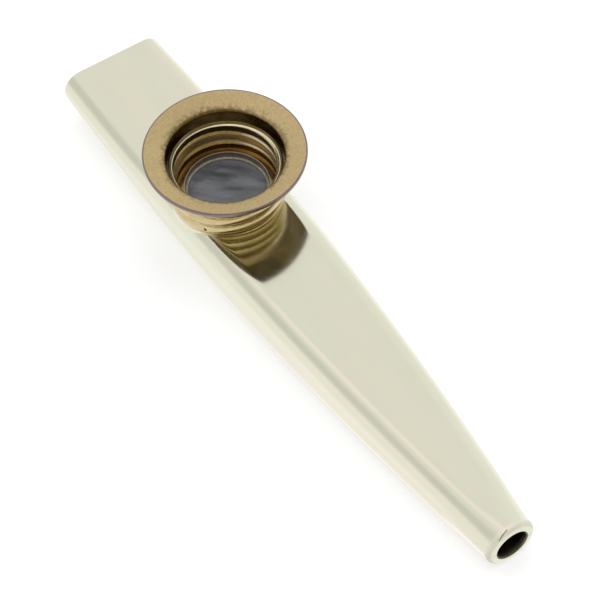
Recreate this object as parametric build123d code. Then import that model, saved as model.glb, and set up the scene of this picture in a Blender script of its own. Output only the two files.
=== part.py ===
"""Pressed-metal kazoo: a two-piece tinplate tube with a screw-capped membrane turret.

Millimetres. +X runs from the mouth to the outlet, +Z is up, and the origin is under the middle of the
body, on the plane of its flat belly.
"""
import os
from math import cos, radians, sin, sqrt

from build123d import *

# Body, outside
body_length = 120.0
body_height = 11.3
body_half_width = 10.25
widest_x = -38.6
side_arc_radius = 782.0
mouth_height = 6.95
edge_radius = 3.25
belly_bend_x = -15.7
top_bend_x = -6.75
bend_radius = 250.0
outlet_radius = 4.55
outlet_bore = 2.8
outlet_lip_round = 1.0
outlet_flat_angle = 20.0
spout_length = 2.0
nose_length = 9.0

# Sheet and the lapped seam between the two halves
shell_sheet = 0.4
seam_gap = 0.1
lap_height = 1.6
lap_gap = 0.05
joggle_height = 0.6

# Turret, measured up from its seat in the top of the body
turret_x = -21.15
turret_sheet = 0.3
seat_depth = 0.1
seat_gap = 0.1
collar_inset = 0.3
port_ledge = 2.15
neck_gap = 0.1
neck_lip = 1.0
thread_pitch = 2.15
thread_rise = 0.35
bead_count = 3
thread_gap = 0.1

# Membrane and its rings
film_play = 0.35
film_thickness = 0.08
film_ring_width = 2.25
film_ring_thickness = 0.4
clamp_ring_width = 1.9
clamp_ring_height = 1.2
clamp_ring_round = 0.2
seat_play = 0.03

# Flared cap
cap_height = 8.82
throat_flare = 1.57
flare_rise = 1.23
rim_radius = 14.0
rim_hem_width = 1.0

mouth_x = -body_length / 2
outlet_x = body_length / 2
spout_x = outlet_x - spout_length
nose_x = spout_x - nose_length
mouth_floor = body_height - mouth_height
seam_level = outlet_radius
mouth_seam = mouth_floor + mouth_height / 2
past = 1.0

os.makedirs("parts", exist_ok=True)


def half_width(x, inset):
    """Half the body's width at x: one long arc on each side, drawn in by inset."""
    reach = side_arc_radius - inset
    return body_half_width - side_arc_radius + sqrt(reach**2 - (x - widest_x) ** 2)


def on_line(x, start, end):
    """Height at x of the straight line through two points of the side view."""
    return start[1] + (x - start[0]) * (end[1] - start[1]) / (end[0] - start[0])


def main_tube(inset, start_x):
    """Body from start_x to the nose: the plan outline and the side outline extruded across each other."""
    left = [(x, half_width(x, inset)) for x in (start_x, widest_x, nose_x)]
    right = [(x, -y) for x, y in left]
    plan = make_face(
        [
            ThreePointArc(*left),
            Line(left[2], right[2]),
            ThreePointArc(*reversed(right)),
            Line(right[0], left[0]),
        ]
    )
    roof_end = on_line(nose_x, (top_bend_x, body_height), (spout_x, 2 * outlet_radius))
    floor_start = on_line(start_x, (belly_bend_x, 0), (mouth_x, mouth_floor))
    roof = [(start_x, body_height - inset), (top_bend_x, body_height - inset), (nose_x, roof_end - inset)]
    floor = [(nose_x, inset), (belly_bend_x, inset), (start_x, floor_start + inset)]
    side = make_face(
        [
            FilletPolyline(*roof, radius=bend_radius),
            Line(roof[-1], floor[0]),
            FilletPolyline(*floor, radius=bend_radius),
            Line(floor[-1], roof[0]),
        ]
    )
    upright = extrude(plan, amount=2 * body_height)
    across = extrude(Plane.XZ * side, amount=body_half_width * 2, both=True)
    tube = upright & across
    long_edges = [edge for edge in tube.edges() if edge.bounding_box().size.X > shell_sheet]
    return fillet(long_edges, edge_radius - inset)


def outlet_circle(inset):
    """Face of the outlet's circle where the spout starts, cut into eight arcs.

    Four of them reach outlet_flat_angle to each side of the axes and meet the tube's flat sides; the four
    between meet its rounded edges.
    """
    radius = outlet_radius - inset
    ends = [side + share for side in range(0, 360, 90) for share in (-outlet_flat_angle, outlet_flat_angle)]
    ends.append(ends[0] + 360)

    def point(degrees):
        turn = radians(degrees)
        return (spout_x, radius * cos(turn), outlet_radius + radius * sin(turn))

    return make_face([ThreePointArc(point(a), point((a + b) / 2), point(b)) for a, b in zip(ends, ends[1:])])


def spout_rod(radius, end_x):
    """Round bar on the outlet's axis, from the start of the spout to end_x."""
    start = Plane((spout_x, 0, outlet_radius), z_dir=(1, 0, 0))
    return extrude(start * Circle(radius), amount=end_x - spout_x)


def body_form(inset, mouth_past, end_x):
    """Whole body drawn in by inset on every side, run past the mouth by mouth_past and ended at end_x."""
    tube = main_tube(inset, mouth_x - mouth_past)
    nose = loft([tube.faces().sort_by(Axis.X)[-1], outlet_circle(inset)], ruled=True)
    return tube + nose + spout_rod(outlet_radius - inset, end_x)


def rounded_spout(form, radius):
    """Form with the edge of its outlet end rounded."""
    return fillet(form.faces().sort_by(Axis.X)[-1].edges(), radius)


def under_seam(rise):
    """Everything below the seam line of the side view, lifted by rise."""
    far = outlet_x + 2 * past
    near = mouth_x - 2 * past
    near_level = on_line(near, (belly_bend_x, seam_level), (mouth_x, mouth_seam))
    line = [(far, seam_level + rise), (belly_bend_x, seam_level + rise), (near, near_level + rise)]
    face = make_face(
        [
            FilletPolyline(*line, radius=bend_radius),
            Polyline(line[-1], (near, -body_height), (far, -body_height), line[0]),
        ]
    )
    return extrude(Plane.XZ * face, amount=body_half_width * 2, both=True)


def turret_disc(radius, low, high):
    """Cylinder on the turret's axis between two heights."""
    return Pos(turret_x, 0, low) * Cylinder(radius, high - low, align=(Align.CENTER, Align.CENTER, Align.MIN))


def turret_turned(profile):
    """Profile of (radius, height above the seat) edges turned round the turret's axis."""
    return Pos(turret_x, 0, seat_level) * revolve(Plane.XZ * make_face(profile), Axis.Z)


def bead_wall(root_radius, base, beads):
    """Rolled thread wall, seen in section: arcs that bulge out by thread_rise, one for each bead."""
    heights = [base + thread_pitch * count for count in range(beads + 1)]
    return [
        ThreePointArc((root_radius, a), (root_radius + thread_rise, (a + b) / 2), (root_radius, b))
        for a, b in zip(heights, heights[1:])
    ]


seat_level = body_height - seat_depth
collar_root_radius = half_width(turret_x, 0) - collar_inset
collar_inside = collar_root_radius - turret_sheet
collar_height = turret_sheet + thread_pitch * bead_count
port_radius = collar_inside - port_ledge
neck_radius = port_radius - neck_gap
neck_bore = neck_radius - turret_sheet
film_radius = collar_inside - film_play
film_top = turret_sheet + film_thickness
film_ring_bore = film_radius - film_ring_width
film_ring_top = film_top + film_ring_thickness
clamp_ring_bore = film_radius - clamp_ring_width
clamp_ring_base = film_ring_top + seat_play
clamp_ring_top = clamp_ring_base + clamp_ring_height
cap_base = clamp_ring_top + seat_play
cap_root_radius = collar_inside - thread_gap - thread_rise
cap_bore = cap_root_radius - turret_sheet
cap_bead_count = bead_count - 1
throat_edge_radius = cap_bore + throat_flare


def body_shells():
    """Upper and lower halves of the tube, lapped along the seam, with the turret's seat in the upper one.

    The spout's end is turned in to a lip round its bore, and the lap stops behind that lip.
    """
    lip_back = outlet_x - shell_sheet
    outer = rounded_spout(body_form(0, 0, outlet_x), outlet_lip_round)
    cavity = rounded_spout(body_form(shell_sheet, past, lip_back), outlet_lip_round - shell_sheet)
    cavity = cavity + spout_rod(outlet_bore, outlet_x + past)
    lap_outer = body_form(shell_sheet + lap_gap, past, lip_back - outlet_lip_round)
    lap_inner = body_form(2 * shell_sheet + lap_gap, past, outlet_x + past)
    seat_radius = collar_root_radius + seat_gap
    sheet_under = seat_level - shell_sheet

    roofed = outer - turret_disc(seat_radius, seat_level, body_height + past)
    roofed = roofed + turret_disc(seat_radius, seam_level + edge_radius, seat_level)
    room = cavity + turret_disc(seat_radius - shell_sheet, seam_level + edge_radius, sheet_under)
    room = room - turret_disc(seat_radius + shell_sheet, sheet_under, body_height + past)
    upper = roofed - room - under_seam(seam_gap)
    upper = upper - turret_disc(port_radius, seam_level, body_height + past)

    pan = (outer - cavity) & under_seam(0)
    step = under_seam(-joggle_height)
    joggle = (cavity & outer) & (under_seam(0) - step)
    lap = (lap_outer & outer) & (under_seam(lap_height) - step)
    return upper, pan + (joggle + lap - lap_inner)


def turret_collar():
    """Drawn socket: floor with a neck rolled over under the body's top, and a wall rolled into a thread."""
    lip_top = -shell_sheet
    lip_base = lip_top - turret_sheet
    lip_radius = port_radius + neck_lip
    outside = bead_wall(collar_root_radius, turret_sheet, bead_count)
    inside = bead_wall(collar_inside, turret_sheet, bead_count)
    foot = Polyline(
        (collar_inside, turret_sheet),
        (neck_bore, turret_sheet),
        (neck_bore, lip_base),
        (lip_radius, lip_base),
        (lip_radius, lip_top),
        (neck_radius, lip_top),
        (neck_radius, 0),
        (collar_root_radius, 0),
        (collar_root_radius, turret_sheet),
    )
    brim = Line((collar_root_radius, collar_height), (collar_inside, collar_height))
    return turret_turned([*outside, brim, *inside, foot])


def turret_ring(bore, radius, low, high):
    """Flat ring on the turret's axis, its heights measured from the seat."""
    profile = Polyline((bore, low), (radius, low), (radius, high), (bore, high), close=True)
    return turret_turned(profile)


def turret_cap():
    """Screw cap: threaded tube whose last bead opens into a straight throat, and a flare with a hem."""
    thread_top = cap_base + thread_pitch * cap_bead_count
    throat_base = thread_top + thread_pitch / 2
    rim_top = cap_base + cap_height
    throat_top = rim_top - flare_rise
    fold_radius = rim_radius - turret_sheet
    hem_radius = rim_radius - rim_hem_width
    hem_top = on_line(hem_radius, (throat_edge_radius, throat_top), (fold_radius, rim_top))
    inside = bead_wall(cap_bore, cap_base, cap_bead_count)
    outside = bead_wall(cap_root_radius, cap_base, cap_bead_count)
    throat = [
        TangentArc((cap_bore + thread_rise, throat_base), (cap_bore, thread_top), tangent=(0, -1)),
        Line((cap_bore + thread_rise, throat_base), (throat_edge_radius, throat_top)),
    ]
    flare = [
        Line((throat_edge_radius, throat_top), (fold_radius, rim_top)),
        ThreePointArc(
            (fold_radius, rim_top),
            (rim_radius, rim_top - turret_sheet),
            (fold_radius, rim_top - 2 * turret_sheet),
        ),
    ]
    shoulder = (cap_root_radius + thread_rise, throat_base)
    under = Polyline(
        (fold_radius, rim_top - 2 * turret_sheet),
        (hem_radius, hem_top - 2 * turret_sheet),
        (hem_radius, hem_top - turret_sheet),
        (throat_edge_radius + turret_sheet, throat_top - turret_sheet),
        shoulder,
    )
    neck = TangentArc(shoulder, (cap_root_radius, thread_top), tangent=(0, -1))
    edge = Line((cap_bore, cap_base), (cap_root_radius, cap_base))
    return turret_turned([*inside, *throat, *flare, under, neck, *outside, edge])


def clamp_ring():
    """Loose ring between the film's card and the cap, with its edges eased."""
    ring = turret_ring(clamp_ring_bore, film_radius, clamp_ring_base, clamp_ring_top)
    return fillet(ring.edges().filter_by(GeomType.CIRCLE), clamp_ring_round)


upper_shell, lower_shell = body_shells()
pieces = {
    "upper_shell": upper_shell,
    "lower_shell": lower_shell,
    "turret_collar": turret_collar(),
    "membrane_film": turret_disc(film_radius, seat_level + turret_sheet, seat_level + film_top),
    "membrane_ring": turret_ring(film_ring_bore, film_radius, film_top, film_ring_top),
    "clamp_ring": clamp_ring(),
    "turret_cap": turret_cap(),
}
for name, piece in pieces.items():
    export_step(piece, f"parts/{name}.step")
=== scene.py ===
"""Kazoo of pressed tinplate with a brass screw turret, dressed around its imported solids.

Metres, in the frame of the solids: +X from the mouth to the outlet, +Z up, the belly on z = 0.
"""
import functools
import math
from typing import NamedTuple

import bmesh
import bpy
import numpy as np
from bpy.props import FloatProperty, FloatVectorProperty, PointerProperty
from mathutils import Matrix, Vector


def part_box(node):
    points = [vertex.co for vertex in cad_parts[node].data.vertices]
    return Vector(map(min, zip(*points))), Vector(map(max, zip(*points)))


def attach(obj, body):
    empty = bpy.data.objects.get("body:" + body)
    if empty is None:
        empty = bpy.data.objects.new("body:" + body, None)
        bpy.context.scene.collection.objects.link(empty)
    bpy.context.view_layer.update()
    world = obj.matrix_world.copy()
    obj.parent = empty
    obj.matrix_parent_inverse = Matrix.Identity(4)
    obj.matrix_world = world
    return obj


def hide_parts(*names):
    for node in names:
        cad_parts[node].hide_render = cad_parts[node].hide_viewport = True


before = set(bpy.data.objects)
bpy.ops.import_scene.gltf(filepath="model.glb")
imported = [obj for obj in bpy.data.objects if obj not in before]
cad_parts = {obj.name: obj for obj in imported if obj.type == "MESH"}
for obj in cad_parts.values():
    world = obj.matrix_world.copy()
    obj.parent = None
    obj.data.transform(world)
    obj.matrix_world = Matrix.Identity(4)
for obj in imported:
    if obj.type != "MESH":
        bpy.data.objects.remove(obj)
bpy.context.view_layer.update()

bl_info = {
    "name": "Pressed kazoo",
    "version": (1, 0, 0),
    "blender": (4, 5, 0),
    "location": "View3D > Sidebar > Kazoo",
    "description": "Builds a tinplate kazoo with a brass screw turret, and its stage",
    "category": "Object",
}

SHELL_LOW, SHELL_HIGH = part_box("upper_shell")
COLLAR_LOW, COLLAR_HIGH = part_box("turret_collar")
CAP_LOW, CAP_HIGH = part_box("turret_cap")
FILM_LOW, FILM_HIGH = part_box("membrane_film")
CARD_LOW, CARD_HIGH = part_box("membrane_ring")
CLAMP_LOW, CLAMP_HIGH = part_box("clamp_ring")
COLLAR_CREST = (COLLAR_HIGH.x - COLLAR_LOW.x) / 2

FULL_TURN = 2 * math.pi
QUARTER_TURN = math.pi / 2
WHITE = (1.0, 1.0, 1.0, 1.0)

# Steps of the grids, the limits that close and shade a mesh, and the camera's near limit
SHELL_SPACING = 0.0006
WALL_STEPS = 7
CORNER_STEPS = 18
CROWN_STEPS = 22
OPENING_STEP = 4
LAP_STEPS = 6
TURN_STEPS = 216
THREAD_STEPS = 140
EASE_STEPS = 9
LIP_STEPS = 12
HEM_STEPS = 5
FILM_STEPS = 60
FLOOR_STEPS = 64
SHARP_ANGLE = math.radians(38)
MERGE_DISTANCE = 1e-7
CLIP_SHARE = 0.01

# Places of the finishes in the materials of the shells, the collar, the film and rings, and the cap
OUTSIDE, INSIDE = range(2)
# PIT_SHADE is dark brass in the collar's pit: painted shade
BEAD, PIT_SHADE = range(2)
FACE, BORE = range(2)
# PAINTED_SHADE is dark brass in the throat, its step, the upper grooves and under the flare: painted shade
RIDGE, FLARE, RIM, PAINTED_SHADE = range(4)

# Shares of a ridge, of the throat's step and of the pit at which a face changes to dark brass, painted as
# shade
GROOVE_SHARE = 0.3
STEP_SHARE = 0.2
PIT_SHARE = 0.3

# How steeply threads and folds die out, and the most of a side that a rounding takes
THREAD_FADE = 3
FOLD_FADE = 2.5
EASE_LIMIT = 0.49

# Folds of the film: waves along X and Y over its free radius, phase and share
FILM_FOLDS = ((5.1, 3.2, 0.7, 1.0), (-2.3, 7.9, 1.9, 0.6), (11.3, -6.1, 0.0, 0.4))

# Turn and shift of the film's streaks of painted sheen, and how rubbing lightens brass and changes its
# roughness
STREAK_TURN = math.radians(-50)
STREAK_SHIFT = 0.04
RUBBED_GAIN = 1.25
RUBBED_ROUGHNESS = (0.7, 1.4)

# Where the pale lip, partly its own finish and partly a painted highlight, fades in and out, from the start
# of its bend and from the outlet's end
LIP_START = (-0.0005, 0.0004)
LIP_END = (-0.0002, -0.00003)

# Where the parts of the studio fade in and out, in a unit direction's parts along X, across Y and up Z
FLOOR_UP = (-0.1, 0.15)
FAR_WALL_ACROSS = (0.35, 0.85)
NEAR_WALL_ACROSS = (-0.2, -0.45)
NEAR_WALL_UP = (0.05, 0.3, 0.6, 0.8)
WARM_ALONG = (-0.53, -0.42)
WARM_ACROSS = (-0.45, -0.25, -0.15, 0.05)
OPEN_ALONG = (0.05, 0.4)
OPEN_UP = (-0.05, 0.2, 0.82, 0.95)
DARK_UP = (0.4, 0.58)


def length(name, description, default):
    """A size in metres."""
    return FloatProperty(name=name, description=description, default=default, unit="LENGTH", precision=5)


def angle(name, description, degrees):
    """An angle, written here in degrees."""
    return FloatProperty(name=name, description=description, default=math.radians(degrees), subtype="ANGLE")


def share(name, description, default):
    """A number from 0 to 1."""
    return FloatProperty(name=name, description=description, default=default, min=0, max=1, subtype="FACTOR")


def tint(name, description, default, most=1):
    """A colour in linear light."""
    return FloatVectorProperty(name=name, description=description, default=default, size=3, min=0, max=most,
                               subtype="COLOR")


class KazooBodySizes(bpy.types.PropertyGroup):
    """Sizes of the two pressed halves of the tube."""

    mouth_x: length("Mouth", "Place of the mouth end along X", SHELL_LOW.x)
    outlet_x: length("Outlet", "Place of the outlet end along X", SHELL_HIGH.x)
    height: length("Height", "Belly to roof under the turret", SHELL_HIGH.z)
    half_width: length("Half width", "Half the width at the widest place", SHELL_HIGH.y)
    widest_x: length("Widest place", "Where along X the tube is widest", -0.0386)
    side_radius: length("Side radius", "Radius of the long arc of each side in plan", 0.782)
    mouth_height: length("Mouth height", "Height of the flat mouth end", 0.00695)
    edge_radius: length("Edge radius", "Rounding of the four long edges", 0.00325)
    belly_bend_x: length("Belly bend", "Where the belly starts to rise to the mouth", -0.0157)
    top_bend_x: length("Top bend", "Where the roof starts to fall to the outlet", -0.00675)
    bend_radius: length("Bend radius", "Rounding of both bends in the side view", 0.25)
    outlet_radius: length("Outlet radius", "Outside radius of the round spout", 0.00455)
    outlet_flat: angle("Outlet flat angle", "Half of each arc of the spout that faces a flat side", 20)
    spout_length: length("Spout length", "Length of the round spout", 0.002)
    nose_length: length("Nose length", "Length over which the tube turns round", 0.009)
    lip_round: length("Lip rounding", "Radius of the bend that turns the spout's end in", 0.001)
    lip_bore: length("Lip bore", "Radius of the hole that the lip leaves", 0.0028)
    lip_depth: length("Lip depth", "How far the lip's edge is turned back inside the bore", 0.0009)
    sheet: length("Sheet", "Thickness of the tinplate", 0.0004)
    seam_gap: length("Seam gap", "Half the gap between the two halves along the seam", 0.00001)
    seam_notch: length("Seam notch", "Half the notch between the two halves at the lip", 0.00008)
    lap_height: length("Lap height", "How far the lower half tucks up inside the upper", 0.0016)
    lap_gap: length("Lap gap", "Clearance between the lap and the upper half", 0.00005)
    lap_fade: length("Lap end", "Length over which the lap dies out behind the lip", 0.0006)
    joggle_height: length("Joggle height", "Height of the inward step below the seam", 0.0006)
    # The crease is darkened with the inside tin's colour: painted shade
    crease_width: length("Crease width", "Half width of the dark crease in the lip", 0.00011)
    crease_start: length("Crease start", "Distance of the crease's upper end from the outlet end", 0.0007)
    crease_end: length("Crease end", "Distance of the crease's lower end from the outlet end", 0.0003)
    crease_turn: angle("Crease turn", "Bearing of the crease's upper end, from +Y over the top", 100.7)
    crease_reach: angle("Crease reach", "How far the crease runs round the spout", 26)
    seat_radius: length("Seat radius", "Radius of the recess under the collar", COLLAR_CREST - 0.00025)
    seat_depth: length("Seat depth", "Depth of that recess", 0.0001)
    port_radius: length("Port radius", "Radius of the hole under the turret", COLLAR_CREST - 0.0028)


class KazooTurretSizes(bpy.types.PropertyGroup):
    """Sizes of the collar, the film with its rings and the flared cap."""

    axis_x: length("Axis", "Place of the turret's axis along X", (CAP_LOW.x + CAP_HIGH.x) / 2)
    sheet: length("Sheet", "Thickness of the brass", 0.0003)
    pitch: length("Thread pitch", "Rise of the rolled thread in one turn", 0.00215)
    collar_rise: length("Collar bead", "How far the collar's thread stands out", 0.00035)
    collar_start: length("Collar groove", "Height above the body of the collar's groove at turn zero", 0.0025)
    pit_depth: length("Pit depth", "Depth of the small pit low on the collar", 0.00025)
    pit_radius: length("Pit radius", "Radius of that pit", 0.0003)
    pit_turn: angle("Pit place", "Turn from +X to the pit", -56)
    pit_height: length("Pit height", "Height of the pit above the body", 0.00115)
    neck_gap: length("Neck gap", "Clearance of the collar's neck in the port", 0.0001)
    neck_lip: length("Neck lip", "How far the neck is rolled out under the sheet", 0.001)
    card_width: length("Card width", "Width of the card ring that carries the film", 0.00225)
    card_round: length("Card rounding", "Rounding of the card ring's edges", 0.00006)
    clamp_width: length("Clamp width", "Width of the loose clamp ring", 0.0019)
    clamp_round: length("Clamp rounding", "Rounding of the clamp ring's edges", 0.0002)
    crease_height: length("Film creases", "Height of the creases in the film", 0.00007)
    bore: length("Cap bore", "Radius inside the cap between its ridges", COLLAR_CREST - 0.00098)
    ridge: length("Cap ridge", "How far the cap's rolled ridges stand inwards", 0.00042)
    ridge_width: length("Ridge width", "Half width of a ridge", 0.00036)
    ridge_start: length("Ridge start", "Height above the body of the cap's ridge at turn zero", 0.00413)
    lip_height: length("Lip height", "Height above the body of the level ridge at the cap's end", 0.0025)
    thread_low: length("Thread start", "Height above the body where the cap's thread starts", 0.0035)
    throat_low: length("Throat start", "Height above the body where the throat starts to open", 0.00715)
    # From this height the cap's grooves are painted dark as shade
    tarnish_low: length("Tarnish start", "Height above the body from which the grooves are tarnished", 0.0053)
    throat_step: length("Throat step", "Height of the step under the straight throat", 0.00025)
    throat_slope: share("Throat slope", "How far the throat opens for each unit of height", 0.32)
    throat_edge: length("Throat edge", "Radius where the throat meets the flare", 0.01028)
    flare_rise: length("Flare rise", "Height of the shallow flare", 0.00123)
    edge_ease: length("Throat easing", "Rounding between throat and flare", 0.0007)
    hem_width: length("Hem width", "Width of the turned-under hem of the rim", 0.001)
    rim_fold: length("Rim fold", "Height of the folded rim", 0.00085)
    rim_ease: length("Rim easing", "Rounding of the folded rim", 0.0003)


class KazooFinishes(bpy.types.PropertyGroup):
    """Colours and roughness of the finishes."""

    tin: tint("Tin", "Polished tinplate", (0.70, 0.695, 0.56))
    tin_shade: tint("Tin shade", "Faintly greener patches of the tinplate", (0.655, 0.665, 0.525))
    tin_warm: tint("Tin cast", "Faintly pink patches of the tinplate", (0.73, 0.69, 0.56))
    # Dark tin inside the tube: partly its duller finish, partly painted shade of the hollow
    tin_inside: tint("Tin inside", "Dull tinplate inside the tube", (0.16, 0.155, 0.12))
    inside_shade: tint("Inside shade", "Darker patches inside the tube", (0.09, 0.08, 0.06))
    # The lip is paler and less metallic than the tin: partly its own finish, partly a painted highlight
    lip: tint("Lip", "Burnished lip of the outlet", (0.82, 0.80, 0.66))
    tin_edge: tint("Tin edge", "Cut edges of the tinplate", (0.62, 0.60, 0.50))
    brass: tint("Brass", "Brass of the cap", (0.80, 0.70, 0.47))
    collar: tint("Collar", "Paler brass of the collar", (0.56, 0.47, 0.26))
    brass_shade: tint("Brass shade", "Tarnished brass", (0.42, 0.31, 0.13))
    flare: tint("Flare", "Blasted brass of the flare", (0.56, 0.43, 0.22))
    flare_shade: tint("Flare shade", "Darker grain of the flare", (0.40, 0.31, 0.16))
    # Dark brass painted as shade: in the throat and its step, the upper grooves, under the flare, in the pit
    # and at the flare's inner edge
    under: tint("Underside", "Tarnished brass in the throat and under the flare", (0.09, 0.065, 0.014))
    rim: tint("Rim", "Oxidised edge of the rim", (0.23, 0.18, 0.18))
    # The clamp ring's brass is darkened as painted shade under the cap
    clamp: tint("Clamp ring", "Darkened brass of the clamp ring", (0.30, 0.18, 0.05))
    clamp_edge: tint("Clamp edge", "Grey worn bore of the clamp ring", (0.36, 0.31, 0.29))
    card: tint("Card", "Pale card", (0.42, 0.38, 0.29))
    card_shade: tint("Card shade", "Darker fibres of the card", (0.27, 0.24, 0.18))
    film: tint("Film", "Grey film over the dark tube", (0.07, 0.075, 0.085))
    # The film's paler streaks are painted sheen
    film_sheen: tint("Film sheen", "Paler streaks in the film", (0.15, 0.155, 0.17))
    tin_gloss: share("Tin roughness", "Roughness of the polished tinplate", 0.13)
    lip_gloss: share("Lip roughness", "Roughness of the burnished lip of the outlet", 0.5)
    brass_gloss: share("Brass roughness", "Roughness of the rolled brass", 0.13)
    cap_gloss: share("Cap roughness", "Roughness of the cap's ridges", 0.28)
    clamp_gloss: share("Clamp roughness", "Roughness of the clamp ring", 0.15)
    flare_gloss: share("Flare roughness", "Roughness of the blasted flare", 0.42)


class KazooStage(bpy.types.PropertyGroup):
    """Camera, floor and light."""

    azimuth: angle("Azimuth", "Turn of the camera round the part", 57.781)
    elevation: angle("Elevation", "Height angle of the camera", 52.827)
    roll: angle("Roll", "Lean of the camera", -2.287)
    distance: length("Distance", "Camera to the middle of the part", 0.38111)
    aim_right: length("Aim right", "Sideways place of the camera", 0.000568)
    aim_up: length("Aim up", "Upward place of the camera", -0.004897)
    lens: FloatProperty(name="Lens", description="Focal length", default=136.75, unit="CAMERA")
    sensor: FloatProperty(name="Sensor", description="Sensor width", default=36.0, unit="CAMERA")
    floor_radius: length("Floor", "Radius of the floor", 0.9)
    floor: tint("Floor colour", "Colour of the floor", (0.6, 0.6, 0.6))
    floor_lift: share("Floor lift", "Light that whitens the floor for the camera", 0.52)
    floor_glow: share("Floor glow", "How much brighter than the tent the floor is in metal", 0.12)
    wall_glow: share("Far wall glow", "How much brighter than the tent its far wall is in metal", 0.07)
    wall_shade: share("Near wall shade", "How much darker than the tent its near wall is in metal", 0.17)
    warm: tint("Warm roof", "Cast of a strip of the tent's roof in metal", (1.17, 1.09, 1.12), 2)
    dusk: tint("Dusk", "What metal sees low down through the open side of the tent", (0.48, 0.39, 0.20))
    dark: tint("Dark", "What metal sees high up through the open side of the tent", (0.20, 0.145, 0.035))
    fill: FloatProperty(name="Fill", description="Light of the surroundings", default=0.65, min=0)
    key: FloatProperty(name="Key", description="Power of the overhead lamp", default=2.4, min=0, unit="POWER")
    key_height: length("Key height", "Height of the overhead lamp", 0.8)
    key_size: length("Key size", "Width of the overhead lamp", 0.7)


class Surface(NamedTuple):
    """Points, four-cornered faces, the finish of each face, and how many of the first points a cap closes."""

    points: np.ndarray
    quads: np.ndarray
    finish: np.ndarray
    cap_size: int = 0


def ease(t):
    """Smooth step: 0 below 0, 1 above 1, level at both ends."""
    t = np.clip(t, 0, 1)
    return t * t * (3 - 2 * t)


def stations(marks, spacing):
    """Places that include every mark, evenly spread between marks and at most spacing apart."""
    runs = [np.linspace(a, b, max(2, math.ceil((b - a) / spacing)), endpoint=False)
            for a, b in zip(marks, marks[1:])]
    return np.concatenate([*runs, marks[-1:]])


def loop_quads(loops):
    """Corner numbers of the faces between each closed loop of points and the next."""
    here, there = loops[:-1], loops[1:]
    return np.stack([here, there, np.roll(there, -1, 1), np.roll(here, -1, 1)], -1)


def add_object(name, data):
    """New object in the scene, at the origin."""
    thing = bpy.data.objects.new(name, data)
    bpy.context.scene.collection.objects.link(thing)
    return thing


def add_piece(name, surface, materials, body, replaced):
    """Makes a closed, smooth mesh object from a surface, attaches it to its body and hides the node it
    replaces.
    """
    cap = np.arange(surface.cap_size)
    used, corners = np.unique(np.concatenate([surface.quads.ravel(), cap]), return_inverse=True)
    starts = np.arange(len(surface.quads) + (len(cap) > 0)) * 4
    finish = np.append(surface.finish, OUTSIDE)[:len(starts)]
    mesh = bpy.data.meshes.new(name)
    mesh.vertices.add(len(used))
    mesh.vertices.foreach_set("co", surface.points[used].astype(np.float32).ravel())
    mesh.loops.add(len(corners))
    mesh.loops.foreach_set("vertex_index", corners.astype(np.int32))
    mesh.polygons.add(len(starts))
    mesh.polygons.foreach_set("loop_start", starts.astype(np.int32))
    mesh.polygons.foreach_set("material_index", finish.astype(np.int32))
    mesh.update(calc_edges=True)
    shape = bmesh.new()
    shape.from_mesh(mesh)
    bmesh.ops.remove_doubles(shape, verts=shape.verts, dist=MERGE_DISTANCE)
    bmesh.ops.recalc_face_normals(shape, faces=shape.faces)
    shape.to_mesh(mesh)
    shape.free()
    mesh.shade_smooth()
    mesh.set_sharp_from_angle(angle=SHARP_ANGLE)
    for material in materials:
        mesh.materials.append(material)
    piece = add_object(name, mesh)
    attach(piece, body)
    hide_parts(replaced)


def bent(past, rise, radius):
    """Height gained by a line that is level, then climbs by rise per unit of x, its corner an arc."""
    turn = math.atan(rise)
    arc_end = radius * math.sin(turn)
    along = np.clip(past + radius * math.tan(turn / 2), 0, None)
    arc = radius - np.sqrt(radius**2 - np.minimum(along, arc_end) ** 2)
    return np.where(along < arc_end, arc, past * rise)


def half_width(body, x, inset):
    """Half the tube's width at x: one long arc on each side, drawn in by inset."""
    reach = body.side_radius - inset
    return body.half_width - body.side_radius + np.sqrt(reach**2 - (x - body.widest_x) ** 2)


def crown(body, x, inset, side):
    """Height of the roof (side 1) or belly (side -1), drawn in by inset: level, then a straight slope."""
    if side > 0:
        spout_x = body.outlet_x - body.spout_length
        fall = (body.height - 2 * body.outlet_radius) / (spout_x - body.top_bend_x)
        return body.height - bent(x - body.top_bend_x, fall, body.bend_radius) - inset
    rise = (body.height - body.mouth_height) / (body.belly_bend_x - body.mouth_x)
    return bent(body.belly_bend_x - x, rise, body.bend_radius) + inset


def seam(body, x):
    """Height of the seam: level at the outlet's middle, then a slope to the middle of the mouth."""
    mouth_level = body.height - body.mouth_height / 2
    rise = (mouth_level - body.outlet_radius) / (body.belly_bend_x - body.mouth_x)
    return body.outlet_radius + bent(body.belly_bend_x - x, rise, body.bend_radius)


def shell_rows(body, x, inset):
    """Places and spout radii of a half's rows: the stations x, then the spout's end turned in to its bore.

    The turned-in lip is a quarter circle, a flat ring, a small quarter circle and a short hem in the bore.
    """
    turn = np.linspace(0, QUARTER_TURN, LIP_STEPS + 1)[1:]
    bend = body.lip_round - inset
    bend_x = body.outlet_x - body.lip_round + bend * np.sin(turn)
    bend_radius = body.outlet_radius - body.lip_round + bend * np.cos(turn)
    turn = np.linspace(0, QUARTER_TURN, HEM_STEPS)
    back = body.sheet - inset
    hem_end = body.outlet_x - body.lip_depth
    hem_x = [*(body.outlet_x - body.sheet + back * np.cos(turn)), hem_end, hem_end]
    hem_radius = [*(body.lip_bore + body.sheet - back * np.sin(turn)), body.lip_bore + inset,
                  body.lip_bore + body.sheet / 2]
    tube = 0 * x + body.outlet_radius - inset
    return np.concatenate([x, bend_x, hem_x]), np.concatenate([tube, bend_radius, hem_radius])


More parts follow.
